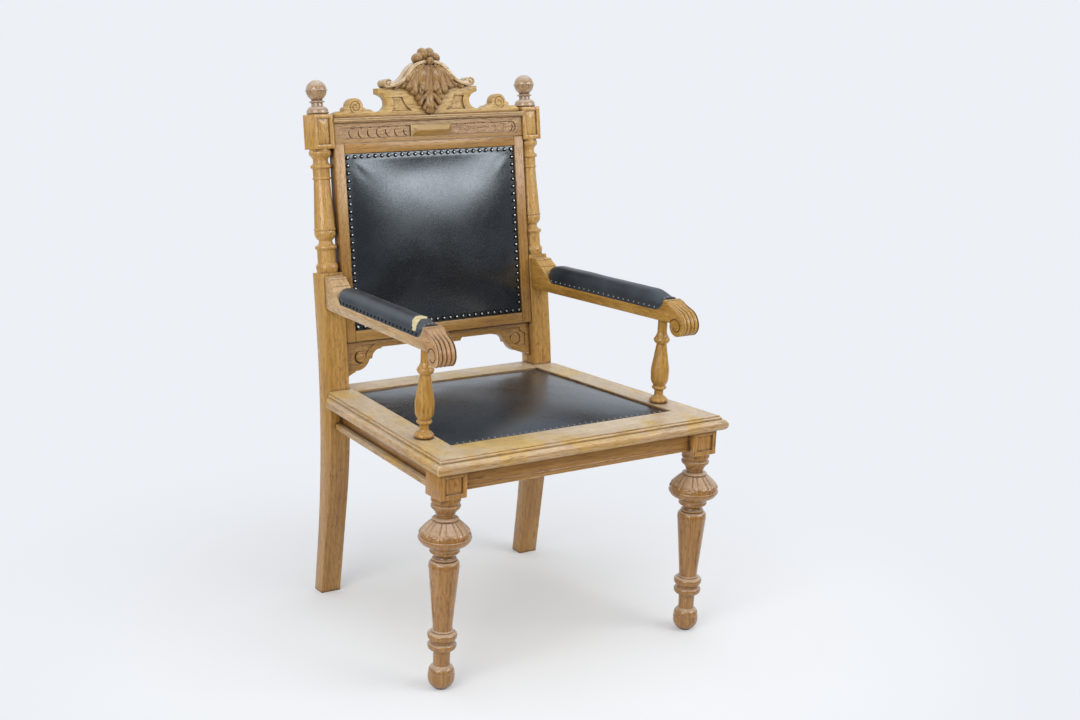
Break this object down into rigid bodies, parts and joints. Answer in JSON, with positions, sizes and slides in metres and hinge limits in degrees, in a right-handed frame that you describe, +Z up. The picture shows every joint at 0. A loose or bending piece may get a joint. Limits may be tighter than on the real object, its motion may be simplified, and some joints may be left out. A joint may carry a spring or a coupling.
{
  "type": "armchair",
  "caption": "Carved oak armchair with turned front legs, scrolled arms on turned supports, a tall leather back panel under a fretted crest, and a leather seat.",
  "frame": {"origin": "centre of the footprint, on the floor", "axes": "+Z up, the chair faces -Y, +X is at the right of someone who looks at its front"},
  "size_m": [0.684, 0.6806, 1.1332],
  "materials": {
    "oak": "waxed, satin",
    "oak_dark": "waxed, satin",
    "oak_worn": "worn wax, dull",
    "oak_carved": "waxed, satin",
    "pine": "bare",
    "leather": "smooth, worn sheen",
    "jute": "woven",
    "cover_cloth": "matt woven",
    "nail": "black lacquer, rubbed on the domes"
  },
  "bodies": {
    "root": {"arm_left": "oak", "arm_pad_left": "leather", "arm_pad_right": "leather", "arm_right": "oak", "arm_support_left": "oak", "arm_support_right": "oak", "back_bottom_rail": "oak", "back_cover": "cover_cloth", "back_pad": "leather", "back_stile_left": "oak", "back_stile_right": "oak", "back_top_rail": "oak", "back_webbing_1": "jute", "back_webbing_2": "jute", "back_webbing_3": "jute", "corner_block_front_left": "pine", "corner_block_front_right": "pine", "corner_block_rear_left": "pine", "corner_block_rear_right": "pine", "cornice": "oak_carved", "crest_board": "oak_carved", "crest_hood": "oak_carved", "crest_leaf": "oak_carved", "crest_shell": "oak_carved", "finial_left": "oak", "finial_right": "oak", "frieze_boss": "oak", "frieze_rail": "oak_carved", "front_leg_left": "oak_dark", "front_leg_right": "oak_dark", "front_rail": "oak_dark", "lower_back_rail": "oak", "rear_post_left": "oak", "rear_post_right": "oak", "rear_rail": "oak_dark", "seat_frame_back": "oak_worn", "seat_frame_front": "oak_worn", "seat_frame_left": "oak_worn", "seat_frame_right": "oak_worn", "seat_hessian": "jute", "seat_pad": "leather", "seat_webbing_cross_1": "jute", "seat_webbing_cross_2": "jute", "seat_webbing_cross_3": "jute", "seat_webbing_long_1": "jute", "seat_webbing_long_2": "jute", "seat_webbing_long_3": "jute", "side_rail_left": "oak_dark", "side_rail_right": "oak_dark", "side_rail_strip_left": "oak_dark", "side_rail_strip_right": "oak_dark"}
  },
  "joints": []
}
